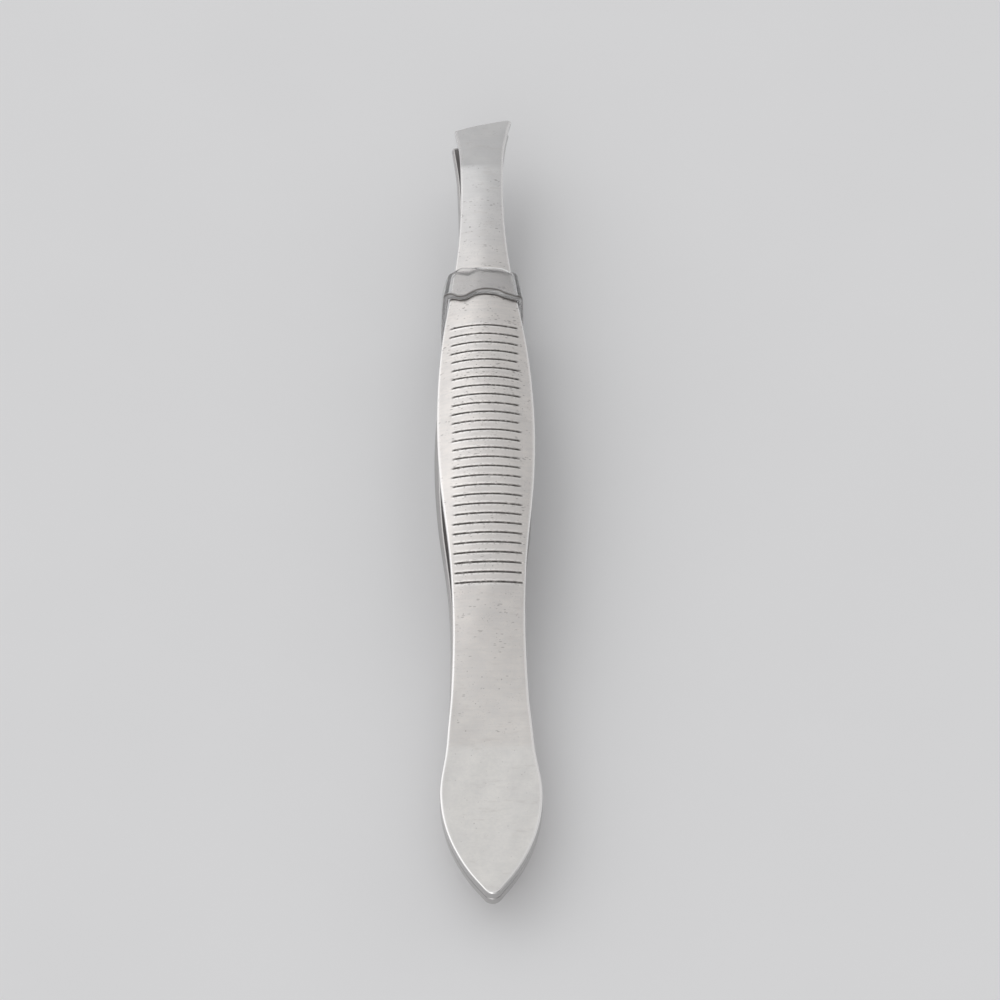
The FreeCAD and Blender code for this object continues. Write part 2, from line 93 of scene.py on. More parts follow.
# station, x of the upper arm's middle, x of the lower arm's middle
CENTRES = [
    (16.6, 0.110, 0.110), (20.0, 0.118, 0.070), (24.0, 0.140, -0.030), (30.0, 0.155, -0.085),
    (36.0, 0.160, -0.080), (42.0, 0.162, -0.080), (48.0, 0.150, -0.105), (54.0, 0.125, -0.160),
    (60.0, 0.095, -0.175), (66.0, 0.083, -0.145), (72.0, 0.088, -0.110), (77.0, 0.105, -0.095),
    (83.0, 0.140, -0.095), (88.0, 0.175, -0.095), (93.0, 0.190, -0.095),
]
NOSE_R = 1.0
NOSE_ANGLE = math.radians(37.0)  # slope of the outline where the nose's arc ends
NOSE_END = NOSE_R * (1 - math.sin(NOSE_ANGLE))
NOSE_HALF_W = NOSE_R * math.cos(NOSE_ANGLE)

BEND = PROFILE[0][0]             # the tail is flat up to this station
BOW_START = 20.0
SEAM = 28.0                      # the rear and fore pieces of an arm meet here
JAW_BEND = 84.0                  # ahead of this the jaw is one straight facet
JAW_FALL = 0.325                 # drop of that facet per mm
JAW_THIN, JAW_THIN_AT = 0.92, 90.0
JAW_FLAT_Z = 0.62                # height of the jaw's flat inner face
JAW_FLAT_START = 86.0
TIP_LEFT, TIP_RIGHT = 90.05, 92.0            # ends of the slanted tip at -X and +X
TIP_LEFT_R, TIP_RIGHT_R = 0.16, 0.36         # its rounded corners in plan
OUTER_ROUND, INNER_ROUND = 0.20, 0.16        # edge radii of the two faces

GROOVE_FIRST, GROOVE_LAST, GROOVE_COUNT = 34.07, 62.83, 29
GROOVE_HALF = 3.4                # half length of a pressed cross line
GROOVE_MARGIN = 0.45             # plain rows start this far from the outer lines
GROOVE_ROWS = [-0.235, -0.175, -0.125, -0.085, -0.040, 0.0, 0.040, 0.085, 0.125, 0.175, 0.235]

JAW_ROWS = 44
COLS = 72
ACROSS = np.linspace(-1, 1, COLS + 1)
INNER_SHARE = 0.84               # share of the columns that can gather under the grooves

REAR_BLEND = (18.0, 26.0)        # stations listed with each piece and its two bodies below
FORE_BLEND = (SEAM, 33.6)


# ------------------------------------------------------------------ curves
class Cubic:
    """Cubic spline through points, with natural ends or a set slope at the start."""

    def __init__(self, x, y, start_slope=None):
        self.x, self.y = np.array(x, float), np.array(y, float)
        count = len(x)
        gap = np.diff(self.x)
        slope = np.diff(self.y) / gap
        matrix = np.zeros((count, count))
        right = np.zeros(count)
        matrix[0, 0] = matrix[-1, -1] = 1
        for i in range(1, count - 1):
            matrix[i, i - 1:i + 2] = gap[i - 1], 2 * (gap[i - 1] + gap[i]), gap[i]
            right[i] = 6 * (slope[i] - slope[i - 1])
        if start_slope is not None:
            matrix[0, 0], matrix[0, 1] = 2 * gap[0], gap[0]
            right[0] = 6 * (slope[0] - start_slope)
        self.curvature = np.linalg.solve(matrix, right)
        self.gap = gap

    def __call__(self, at):
        at = np.asarray(at, float)
        i = np.clip(np.searchsorted(self.x, at) - 1, 0, len(self.x) - 2)
        gap = self.gap[i]
        u = (at - self.x[i]) / gap
        v = 1 - u
        bend = (v ** 3 - v) * self.curvature[i] + (u ** 3 - u) * self.curvature[i + 1]
        return v * self.y[i] + u * self.y[i + 1] + gap * gap / 6 * bend


def smooth(start, end, value):
    """Smooth step from 0 at start to 1 at end."""
    t = np.clip((value - start) / (end - start), 0, 1)
    return t * t * (3 - 2 * t)


def unit(vectors):
    length = np.linalg.norm(vectors, axis=-1, keepdims=True)
    return vectors / np.maximum(length, 1e-12)


stations, heights, half_widths, bows = zip(*PROFILE)
crown_curve = Cubic(stations, heights)
bow_curve = Cubic(stations, bows)
width_points = [(NOSE_END, NOSE_HALF_W)] + LEAF + list(zip(stations, half_widths))
half_width = Cubic(*zip(*width_points), start_slope=math.tan(NOSE_ANGLE))
centre_stations, upper_centres, lower_centres = zip(*CENTRES)
CENTRE_CURVES = {1: Cubic(centre_stations, upper_centres),
                 -1: Cubic(centre_stations, lower_centres)}


def crown(s):
    """Height of the outer face along the middle."""
    ease = 0.002 * np.clip((BOW_START - s) / (BOW_START - BEND), 0, 1)
    z = np.where(s < BEND, SHEET, crown_curve(s) - ease)
    return np.where(s > JAW_BEND, crown_curve(JAW_BEND) - JAW_FALL * (s - JAW_BEND), z)


def outer_z(x, s):
    """Outer face of the upper arm: a circular arc across, hung from the crown line."""
    bow = np.where(s < BOW_START, 0.0, np.maximum(bow_curve(s), 0.0))
    radius = 1 / (2 * np.maximum(bow, 1e-4))
    return crown(s) - (radius - np.sqrt(np.maximum(radius * radius - x * x, 0)))


def on_outer_face(plan):
    """Points of the outer face over a plan grid, and the face's normals there."""
    x, s = plan[..., 0], plan[..., 1]
    step = 0.02
    slope_x = (outer_z(x + step, s) - outer_z(x - step, s)) / (2 * step)
    slope_s = (outer_z(x, s + step) - outer_z(x, s - step)) / (2 * step)
    normals = unit(np.stack([-slope_x, -slope_s, np.ones_like(x)], -1))
    return np.stack([x, s, outer_z(x, s)], -1), normals


def thickness(s):
    return SHEET + (JAW_THIN - SHEET) * np.clip((s - JAW_BEND) / (JAW_THIN_AT - JAW_BEND), 0, 1)


def groove_stations():
    """Stations of the cross lines, evenly spaced along the curved face."""
    s = np.linspace(GROOVE_FIRST, GROOVE_LAST, 3000)
    run = np.r_[0, np.cumsum(np.hypot(np.diff(s), np.diff(crown_curve(s))))]
    return np.interp(np.linspace(0, run[-1], GROOVE_COUNT), run, s)


GROOVES = groove_stations()


# ------------------------------------------------------------------ plan of an arm
def row_stations():
    """Stations of the rows up to the jaw: fine at the nose and across each groove."""
    rows = []
    dense_end = 16.0
    s = NOSE_END
    while s < dense_end:
        rows.append(s)
        s += 0.10 + 0.30 * smooth(0.4, 4.0, s)
    rows += list(np.arange(dense_end, SEAM, 0.35))
    rows += list(np.linspace(SEAM, GROOVES[0] - GROOVE_MARGIN, 16))
    for groove in GROOVES:
        rows += list(groove + np.array(GROOVE_ROWS))
    for groove, gap in zip(GROOVES, np.diff(GROOVES)):
        rows += [groove + gap * share for share in (0.36, 0.5, 0.64)]
    rows += list(np.linspace(GROOVES[-1] + GROOVE_MARGIN, JAW_BEND, 62))
    return np.array(sorted(set(np.round(rows, 5))))


ROWS = row_stations()
SEAM_ROW = int(np.argmin(abs(ROWS - SEAM)))


def column_x(s, width):
    """Columns sit evenly under the grooves there, and share the width elsewhere."""
    grooved = smooth(30, 34, s) * (1 - smooth(63.5, 67, s))
    inner = np.minimum(3.62, 0.93 * width) * grooved + INNER_SHARE * width * (1 - grooved)
    share = np.abs(ACROSS)
    beyond = (share - INNER_SHARE) / (1 - INNER_SHARE)
    x = np.where(share < INNER_SHARE, share / INNER_SHARE * inner,
                 inner + beyond * (width - inner))
    return np.sign(ACROSS) * x


def plan_grid():
    """Plan positions (x, station) of every grid point, out to the true outline."""
    grid = []
    for i, s in enumerate(ROWS):
        width = float(half_width(s))
        x = column_x(s, width)
        if i == 0:
            y = NOSE_R - np.sqrt(np.maximum(NOSE_R ** 2 - x * x, 0))
        else:
            # rows just ahead of the nose sag towards its round end
            sag = NOSE_END * max(0.0, 1 - (s - NOSE_END) / 3.0) ** 2
            y = s - sag * (1 - (x / width) ** 2)
        grid.append(np.stack([x, y], -1))
    share = (ACROSS + 1) / 2
    for i in range(1, JAW_ROWS + 1):
        along = 1 - (1 - i / JAW_ROWS) ** 1.25
        left = JAW_BEND + (TIP_LEFT - JAW_BEND) * along
        right = JAW_BEND + (TIP_RIGHT - JAW_BEND) * along
        x_left, x_right = -float(half_width(left)), float(half_width(right))
        grid.append(np.stack([x_left + (x_right - x_left) * share,
                              left + (right - left) * share], -1))
    return np.array(grid)


def round_corner(points, corner, side_a, side_b, radius):
    """Rounds a corner of the plan; the sides are directions leading away from the corner."""
    side_a, side_b = unit(side_a), unit(side_b)
    cosine = side_a @ side_b
    outward = -unit(side_a + side_b)
    reach = radius / math.sin(math.acos(cosine) / 2)
    centre = corner - outward * reach
    normal_a = unit(cosine * side_a - side_b)
    normal_b = unit(cosine * side_b - side_a)
    offset = points - centre
    direction = unit(offset)

    def angle_to(axis):
        return np.arccos(np.clip(direction @ axis, -1, 1))

    inside = angle_to(outward) < math.acos(normal_a @ outward)
    inside &= np.linalg.norm(offset, axis=-1) < 3 * reach
    nearest = np.minimum(angle_to(normal_a), angle_to(normal_b))
    return centre + offset * np.where(inside, np.cos(nearest), 1.0)[..., None]


def rounded_plan():
    plan = plan_grid()
    left, right = plan[-1, 0], plan[-1, -1]
    left_side, right_side = plan[-4, 0] - left, plan[-4, -1] - right
    slant = right - left
    plan = round_corner(plan, left, left_side, slant, TIP_LEFT_R)
    return round_corner(plan, right, right_side, -slant, TIP_RIGHT_R)


def border_of(last_row, last_col):
    """Grid indices round the border, anticlockwise seen from above."""
    border = [(0, j) for j in range(last_col)]
    border += [(i, last_col) for i in range(last_row)]
    border += [(last_row, j) for j in range(last_col, 0, -1)]
    border += [(i, 0) for i in range(last_row, 0, -1)]
    return border


def outline_normals(outline):
    """Outward plan normals, smoothed a little so that the rounded edge runs true."""
    ahead = unit(np.roll(outline, -1, 0) - outline)
    behind = unit(outline - np.roll(outline, 1, 0))
    tangent = unit(behind + ahead)
    normals = np.stack([tangent[:, 1], -tangent[:, 0]], -1)
    for _ in range(2):
        beside = np.roll(normals, 1, 0) + np.roll(normals, -1, 0)
        normals = unit(normals * 0.5 + beside * 0.25)
    return normals


def inset_grid(plan, rim, normals, radius):
    """The plan with its rim drawn in by radius, and the inside moved along with it."""
    shift = np.zeros_like(plan)
    shift[rim] = -normals * radius
    share = ((ACROSS + 1) / 2)[None, :, None]
    move = shift[:, :1] * (1 - share) + shift[:, -1:] * share
    move[..., 1] *= np.abs(ACROSS) ** 8
    middle = plan[:, COLS // 2, 1]
    end_reach = 1.5
    rear = np.clip(1 - (middle - middle[0]) / end_reach, 0, 1)[:, None, None] ** 2
    front = np.clip(1 - (middle[-1] - middle) / end_reach, 0, 1)[:, None, None] ** 2
    move = move + rear * (shift[0] - move[0]) + front * (shift[-1] - move[-1])
    grid = plan + move
    grid[rim] = (plan + shift)[rim]
    return grid


# ------------------------------------------------------------------ an arm
def groove_shape(x, s, seed):
    """Depth of the cross lines (positive down), and their painted light: shade in the bottoms +,
    highlight on the lips -.
    """
    rng = np.random.default_rng(seed)
    depth = np.zeros_like(x)
    bottom_shade = np.zeros_like(x)
    lip_highlight = np.zeros_like(x)
    for groove in GROOVES:
        left = GROOVE_HALF + rng.uniform(-0.14, 0.05)
        right = GROOVE_HALF + rng.uniform(-0.10, 0.10)
        strength = 0.92 + rng.uniform(-0.1, 0.08)
        worn = 0.94 + 0.06 * smooth(44.0, 58.0, groove)
        away = np.abs(s - groove)
        # 1 along this line and 0 beyond its ends or far from it
        length = smooth(-left - 0.09, -left + 0.13, x)
        length = length * (1 - smooth(right - 0.13, right + 0.09, x)) * (away < 0.3)
        uneven = 1 + 0.12 * np.sin(x * 5.1 + groove * 3.7) + 0.08 * np.sin(x * 11.3 + groove)
        pit = 0.125 * (1 - smooth(0.050, 0.115, away)) * uneven
        burr = 0.024 * np.exp(-((away - 0.165) / 0.038) ** 2)
        depth += (pit - burr) * length * strength * worn
        ripple = 0.5 + 0.5 * np.sin(x * 7.3 + groove * 5.9 + np.sin(x * 3.1 - groove))
        faint = 1 - 0.16 * smooth(0.2, 2.6, x) * ripple
        # painted shade in the bottom of each line, fainter towards +X
        bottom_shade = np.maximum(bottom_shade, (1 - smooth(0.064, 0.122, away)) * length * worn * faint)
        # painted highlight on the lips, brighter behind each line and towards -X
        shine = np.where(s < groove, 1.0, 0.75) * (1 - 0.45 * smooth(-0.5, 2.5, x))
        lip_highlight = np.maximum(lip_highlight, np.exp(-((away - 0.190) / 0.055) ** 2) * length * shine)
    return depth, bottom_shade - lip_highlight * (1 - np.clip(bottom_shade, 0, 1))


def tumbled_wave(x, s, seed):
    """Slow, tiny unevenness of a tumbled stamping, fading out at the sides."""
    wave = 0.010 * np.sin(x * 0.9 + s * 0.31 + seed) * np.sin(s * 0.47 - x * 0.4)
    wave += 0.006 * np.sin(x * 1.7 - s * 0.83 + 2 * seed)
    to_side = np.abs(np.abs(x) - half_width(np.clip(s, NOSE_END, 92.9)))
    return wave * smooth(0.0, 0.8, to_side)


def edge_rings(outer, outer_normal, inner, inner_normal, plan_normal):
    """Rings of points round the edge, from the outer face over both roundings to the inner."""
    sideways = np.concatenate([plan_normal, np.zeros((len(plan_normal), 1))], 1)
    sideways = unit(sideways - (sideways * outer_normal).sum(1, keepdims=True) * outer_normal)
    outer_centre = outer - outer_normal * OUTER_ROUND
    inner_centre = inner + inner_normal * INNER_ROUND

    def arc(centre, radius, normal, degrees):
        angles = np.radians(degrees)
        return [centre + radius * (sideways * math.cos(q) + normal * math.sin(q)) for q in angles]

    outer_arc = arc(outer_centre, OUTER_ROUND, outer_normal, [72, 54, 36, 18, 0])
    inner_arc = arc(inner_centre, INNER_ROUND, -inner_normal, [0, 22, 45, 68])
    return outer_arc + [outer_arc[-1] * 0.5 + inner_arc[0] * 0.5] + inner_arc


def vertex_normals(verts, faces):
    cross = np.cross(verts[faces[:, 2]] - verts[faces[:, 0]],
                     verts[faces[:, 3]] - verts[faces[:, 1]])
    normals = np.zeros_like(verts)
    for k in range(4):
        np.add.at(normals, faces[:, k], cross)
    return unit(normals)


def build_arm(side, seed):
    """Geometry and attributes of one whole arm, in mm; side is +1 for upper, -1 for lower."""
    plan = rounded_plan()
    last_row = len(plan) - 1
    border = border_of(last_row, COLS)
    rim = tuple(np.array(border).T)
    plan_normal = outline_normals(plan[rim])

    outer_plan = inset_grid(plan, rim, plan_normal, OUTER_ROUND)
    outer, outer_normal = on_outer_face(outer_plan)
    x, s = outer_plan[..., 0], outer_plan[..., 1]
    depth, groove_shade_and_highlight = groove_shape(x, s, seed)
    outer = outer - outer_normal * (depth - tumbled_wave(x, s, seed))[..., None]

    inner_plan = inset_grid(plan, rim, plan_normal, INNER_ROUND)
    inner, inner_normal = on_outer_face(inner_plan)
    s = inner_plan[..., 1]
    inner = inner - inner_normal * thickness(s)[..., None]
    flat = (s > JAW_FLAT_START) & (inner[..., 2] < JAW_FLAT_Z)
    inner[..., 2] = np.where(flat, JAW_FLAT_Z, np.maximum(inner[..., 2], 0.0))
    inner_normal = np.where(flat[..., None], np.array([0, 0, 1.0]), inner_normal)

    rings = edge_rings(outer[rim], outer_normal[rim], inner[rim], inner_normal[rim], plan_normal)
    verts = np.concatenate([outer.reshape(-1, 3), inner.reshape(-1, 3)] + rings, 0)
    verts[:, 0] += CENTRE_CURVES[side](np.clip(verts[:, 1], BEND, TIP_RIGHT))
    verts[:, 1] += NOSE_Y

    # vertex numbers: the outer grid, the inner grid, then the rings
    cells = outer[..., 0].size
    outer_id = np.arange(cells).reshape(outer.shape[:2])
    inner_id = outer_id + cells
    ring_id = 2 * cells + np.arange(len(rings) * len(border)).reshape(len(rings), -1)

    corners = [outer_id[:-1, :-1], outer_id[:-1, 1:], outer_id[1:, 1:], outer_id[1:, :-1]]
    outer_quads = np.stack(corners, -1)
    inner_quads = np.roll(outer_quads[..., ::-1], 1, -1) + cells
    face_quads = np.stack([outer_quads, inner_quads], 2).reshape(-1, 4)
    face_rows = np.repeat(np.arange(last_row), 2 * COLS)
    # each column of the strip runs down the edge at one border point
    strip = np.vstack([outer_id[rim], ring_id, inner_id[rim]])
    following = np.roll(strip, -1, 1)
    edge_quads = np.stack([following[:-1], strip[:-1], strip[1:], following[1:]], -1)
    edge_quads = edge_quads.transpose(1, 0, 2).reshape(-1, 4)
    edge_rows = np.minimum(np.minimum(rim[0], np.roll(rim[0], -1)), last_row - 1)
    edge_rows = np.repeat(edge_rows, len(strip) - 1)
    faces = np.concatenate([face_quads, edge_quads])

    # closing faces of the section at the seam
    outer_seam, inner_seam = outer_id[SEAM_ROW], inner_id[SEAM_ROW]
    caps = list(np.stack([outer_seam[:-1], outer_seam[1:], inner_seam[1:], inner_seam[:-1]], -1))
    caps.append(strip[:, border.index((SEAM_ROW, COLS))])
    caps.append(strip[::-1, border.index((SEAM_ROW, 0))])

    marks = {key: np.zeros(len(verts)) for key in ("groove", "edge", "wall", "inner")}
    # the groove mark: painted shade in the bottoms, painted highlight on the lips
    marks["groove"][outer_id] = groove_shade_and_highlight
    # the edge mark: polish, and a painted highlight in its lighter colour
    marks["edge"][ring_id] = 1.0
    marks["edge"][outer_id[rim]] = 0.9
    marks["edge"][inner_id[rim]] = 0.9
    # painted shade on the side walls
    marks["wall"][ring_id[3:]] = 1.0
    # painted shade on the inner faces, between the arms
    marks["inner"][inner_id] = 1.0

    if side < 0:
        verts[:, 2] *= -1
        faces = faces[:, ::-1]
    return dict(side=side, verts=verts, faces=faces, rows=np.concatenate([face_rows, edge_rows]),
                normals=vertex_normals(verts, faces), caps=caps, marks=marks)


def new_object(name, points, faces):
    """Object from points in metres."""
    mesh = bpy.data.meshes.new(name)
    mesh.from_pydata(points, [], faces)
    mesh.update()
    obj = bpy.data.objects.new(name, mesh)
    scene.collection.objects.link(obj)
    return obj


def smooth_object(name, verts, faces, marks):
    """Smooth-shaded object from points in mm, with a float attribute per entry of marks."""
    obj = new_object(name, (verts * MM).tolist(), faces)
    mesh = obj.data
    for key, values in marks.items():
        attribute = mesh.attributes.new(key, "FLOAT", "POINT")
        attribute.data.foreach_set("value", values.astype(np.float32))
    mesh.polygons.foreach_set("use_smooth", [True] * len(mesh.polygons))
    return obj


def arm_piece(name, arm, front):
    """One closed piece of an arm, behind or in front of the seam section."""
    quads = arm["faces"][(arm["rows"] >= SEAM_ROW) == front]
    flip = front == (arm["side"] > 0)
    caps = [cap[::-1] if flip else cap for cap in arm["caps"]]
    used = np.unique(np.concatenate([quads.ravel(), *caps]))
    new_id = np.zeros(len(arm["verts"]), int)
    new_id[used] = np.arange(len(used))
    faces = new_id[quads].tolist() + [new_id[cap].tolist() for cap in caps]
    marks = {key: values[used] for key, values in arm["marks"].items()}
    obj = smooth_object(name, arm["verts"][used], faces, marks)
    obj.data.normals_split_custom_set_from_vertices(arm["normals"][used].tolist())
    return obj


# ------------------------------------------------------------------ node helpers
class Nodes:
    """Builds the node tree of a material or world."""

    def __init__(self, owner, output="ShaderNodeOutputMaterial"):
        self.owner = owner
        owner.use_nodes = True
        self.tree = owner.node_tree
        self.tree.nodes.clear()
        self.output = self.tree.nodes.new(output)

    def fill(self, socket, value):
        if isinstance(value, bpy.types.NodeSocket):
            self.tree.links.new(value, socket)
        else:
            socket.default_value = value

    def new(self, kind, inputs, **settings):
        node = self.tree.nodes.new(kind)
        for key, value in settings.items():
            setattr(node, key, value)
        for key, value in inputs.items():
            self.fill(node.inputs[key], value)
        return node

    def finish(self, kind, inputs):
        """Adds the shader and joins it to the output."""
        shader = self.new(kind, inputs)
        self.tree.links.new(shader.outputs[0], self.output.inputs[0])
        return self.owner

    def math(self, operation, *values, clamp=False):
        inputs = dict(enumerate(values))
        node = self.new("ShaderNodeMath", inputs, operation=operation, use_clamp=clamp)
        return node.outputs[0]

    def times(self, a, b, clamp=False):
        return self.math("MULTIPLY", a, b, clamp=clamp)

    def scaled(self, value, factor, add):
        return self.math("MULTIPLY_ADD", value, factor, add)

    def pile(self, start, layers):
        """Adds value * factor to start for each (value, factor)."""
        for value, factor in layers:
            start = self.scaled(value, factor, add=start)
        return start

    def ramp(self, value, stops):
        node = self.tree.nodes.new("ShaderNodeValToRGB")
        elements = node.color_ramp.elements
        while len(elements) < len(stops):
            elements.new(0.5)
        for element, (position, colour) in zip(elements, stops):
            element.position = position
            element.color = (*colour, 1) if isinstance(colour, tuple) else (*[colour] * 3, 1)
        self.tree.links.new(value, node.inputs[0])
        return node.outputs[0]

    def step(self, value, start, end, low=0.0, high=1.0):
        """Straight ramp from low at start to high at end."""
        return self.ramp(value, [(start, low), (end, high)])

    def mix(self, factor, a, b, mode="MIX"):
        a, b = [(*colour, 1) if isinstance(colour, tuple) else colour for colour in (a, b)]
        # inputs 6 and 7 and output 2 are the colour sockets
        inputs = {0: factor, 6: a, 7: b}
        return self.new("ShaderNodeMix", inputs, data_type="RGBA", blend_type=mode).outputs[2]

    def mapped(self, scale=(1000, 1000, 1000), shift=(0, 0, 0)):
        """Object coordinates times scale; the default counts in mm."""
        place = self.new("ShaderNodeTexCoord", {}).outputs["Object"]
        inputs = {"Vector": place, "Scale": scale, "Location": shift}
        return self.new("ShaderNodeMapping", inputs).outputs[0]

    def noise(self, vector, scale=1.0, detail=2.0, roughness=0.5):
        return self.new("ShaderNodeTexNoise", {
            "Vector": vector, "Scale": scale, "Detail": detail, "Roughness": roughness,
        }).outputs["Fac"]

    def spots(self, vector, radius, sharpness, scale=1.0):
        """Mask of spots, one to a Voronoi cell."""
        cells = self.new("ShaderNodeTexVoronoi", {"Vector": vector, "Scale": scale})
        inside = self.math("SUBTRACT", radius, cells.outputs["Distance"])
        return self.times(inside, sharpness, clamp=True)

    def attribute(self, name):
        return self.new("ShaderNodeAttribute", {}, attribute_name=name).outputs["Fac"]

    def signed_attribute(self, name):
        """The positive and negative parts of an attribute, both as positive masks."""
        value = self.attribute(name)
        below = self.math("MINIMUM", value, 0.0)
        return self.math("MAXIMUM", value, 0.0), self.times(below, -1.0, clamp=True)

    def bump(self, height, strength):
        inputs = {"Height": height, "Distance": MM, "Strength": strength}
        return self.new("ShaderNodeBump", inputs).outputs[0]


def new_material(name):
    return Nodes(bpy.data.materials.new(name))


# ------------------------------------------------------------------ steel
STEEL_Y = (-46.0, 46.0)          # the two tables below run from 0 to 1 between these
# place along the arm, how marked the steel is: little on the tail, more on grip and neck
MARK_DENSITY = [
    (0.00, 0.10), (0.17, 0.10), (0.20, 0.50), (0.35, 0.58), (0.50, 0.62), (0.61, 0.80),
    (0.68, 1.00), (0.73, 0.90), (0.79, 0.62), (0.90, 0.58), (0.92, 0.35), (1.00, 0.30),
]
# place along the arm, colour that multiplies the steel's; its darker stretches are painted shade,
# darkest and cooler on the jaw's facet ahead of station 84
STEEL_TINT_AND_SHADE = [
    (0.00, (1.0, 0.995, 0.978)), (0.175, (1.0, 0.995, 0.978)), (0.182, (0.935, 0.915, 0.894)),
    (0.30, (0.945, 0.918, 0.896)), (0.38, (0.990, 0.958, 0.936)), (0.72, (0.985, 0.953, 0.931)),
    (0.81, (0.958, 0.953, 0.956)), (0.909, (0.953, 0.963, 0.977)),
    (0.914, (0.872, 0.880, 0.893)), (1.00, (0.872, 0.880, 0.893)),
]


def groove_masks(m, seed):
    """Masks of the grooves' painted shade in the bottoms, painted highlight on the lips and dark
    nicks in the lips.
    """
    groove, lip_highlight = m.signed_attribute("groove")
    ragged_place = m.mapped(scale=(3300, 5200, 3300), shift=(seed, 3.0, 2.0))
    ragged = m.noise(ragged_place, detail=2.0, roughness=0.65)
    groove = m.times(groove, m.ramp(ragged, [(0.30, 1.0), (0.52, 1.0), (0.66, 0.55)]))
    nick = m.times(lip_highlight, m.step(ragged, 0.36, 0.46, low=1.0, high=0.0))
    lip_highlight = m.times(lip_highlight, m.step(ragged, 0.40, 0.53, low=0.60))
    return groove, lip_highlight, nick


def mark_masks(m, place, density, seed):
    """Masks of the large pits, small pits and dashes across the arm."""
    marked = m.times(density, 1.35, clamp=True)

    pit_radius = m.scaled(m.noise(place, scale=1.3, detail=1.0), 0.34, add=-0.075)
    pit = m.spots(place, pit_radius, sharpness=16.0, scale=2.1)
    pit = m.times(pit, m.scaled(marked, 0.6, add=0.4))

    patch = m.step(m.noise(place, scale=0.42), 0.45, 0.68)
    small_place = m.mapped(scale=(3600, 6800, 5200), shift=(5.0 + seed, 2.0, 1.0))
    small = m.spots(small_place, m.scaled(patch, 0.17, add=0.10), sharpness=12.0)
    small = m.times(small, marked)

    spread = m.scaled(density, 0.16, add=m.noise(place, scale=0.95, roughness=0.6))
    dash_place = m.mapped(scale=(1500, 5200, 1500), shift=(2.0 + seed, 9.0, 4.0))
    dash = m.spots(dash_place, m.times(m.step(spread, 0.59, 0.72), 0.32), sharpness=9.0)
    dash = m.times(dash, marked)
    return pit, small, dash


def steel_material(name, seed):
    """Tumbled satin stainless: grain, pits, rub marks, polished edges, with painted highlights and
    painted shade.
    """
    m = new_material(name)
    place = m.mapped(shift=(seed * 13.1, seed * 7.7, seed * 3.3))
    groove, lip_highlight, nick = groove_masks(m, seed)
    edge, inner, wall = [m.attribute(key) for key in ("edge", "inner", "wall")]

    cloud = m.noise(place, scale=0.55, detail=3.0, roughness=0.55)
    mottle = m.noise(place, scale=3.2, detail=4.0, roughness=0.6)
    fine = m.noise(place, scale=16.0, roughness=0.6)
    # grain runs across the arm, rub marks along it
    grain_place = m.mapped(scale=(260, 3400, 1000), shift=(seed, 0, 0))
    grain = m.noise(grain_place, detail=3.0, roughness=0.65)
    rub_place = m.mapped(scale=(2600, 130, 1000), shift=(0, seed, 0))
    rub = m.noise(rub_place, detail=3.0, roughness=0.6)
    smudge_place = m.mapped(scale=(520, 1500, 520), shift=(4.0 + seed, 1.0, 0.0))
    smudge = m.noise(smudge_place, detail=3.0, roughness=0.6)

    y = m.new("ShaderNodeSeparateXYZ", {0: place}).outputs[1]
    limits = {"Value": y, "From Min": STEEL_Y[0], "From Max": STEEL_Y[1]}
    along = m.new("ShaderNodeMapRange", limits).outputs[0]
    density = m.ramp(along, MARK_DENSITY)
    pit, small, dash = mark_masks(m, place, density, seed)

    colour = m.mix(m.step(cloud, 0.35, 0.65), (0.742, 0.731, 0.726), (0.799, 0.785, 0.773))
    # painted shade along the arm, from the table above
    colour = m.mix(1.0, colour, m.ramp(along, STEEL_TINT_AND_SHADE), mode="MULTIPLY")
    # mask, strength, colour laid over the ones before
    layers = [
        (m.step(mottle, 0.4, 0.7), 0.35, (0.66, 0.655, 0.65)),
        (m.step(grain, 0.42, 0.62), m.scaled(density, 0.30, add=0.03), (0.60, 0.595, 0.59)),
        (m.step(smudge, 0.58, 0.72), 0.28, (0.56, 0.525, 0.50)),
        (small, 0.55, (0.37, 0.36, 0.355)),
        (dash, 0.72, (0.32, 0.305, 0.295)),
        (pit, 0.72, (0.26, 0.25, 0.245)),
        # painted highlight on the rounded edges, over their polish
        (edge, 0.85, (0.93, 0.92, 0.915)),
        # painted shade on the side walls
        (wall, 0.75, (0.40, 0.39, 0.385)),
        # painted shade on the inner faces, between the arms
        (inner, 0.85, (0.25, 0.24, 0.235)),
        # painted highlight on the grooves' lips
        (lip_highlight, 0.95, (1.0, 0.985, 0.97)),
        (nick, 0.75, (0.30, 0.285, 0.275)),
        # painted shade in the grooves' bottoms
        (groove, 0.97, (0.060, 0.054, 0.049)),
    ]
    for mask, strength, layer_colour in layers:
        colour = m.mix(m.times(mask, strength), colour, layer_colour)

    # each mask's share in the roughness, then in the bump height in mm
    roughness = m.pile(0.225, [
        (mottle, 0.10), (fine, 0.05), (pit, 0.18), (edge, -0.17), (groove, 0.25), (inner, 0.20)])
    worn_grain = m.times(grain, m.scaled(density, 0.0026, add=0.0003))
    height = m.pile(worn_grain, [
        (rub, 0.0010), (fine, 0.0016), (mottle, 0.0035), (pit, -0.020), (small, -0.010),
        (dash, -0.012)])
    return m.finish("ShaderNodeBsdfPrincipled", {
        "Base Color": colour, "Metallic": 1.0, "Roughness": roughness,
        "Normal": m.bump(height, strength=0.55), "Anisotropic": 0.15})


steels = {"upper": steel_material("satin_steel_upper", seed=0.0),
          "lower": steel_material("satin_steel_lower", seed=3.0)}

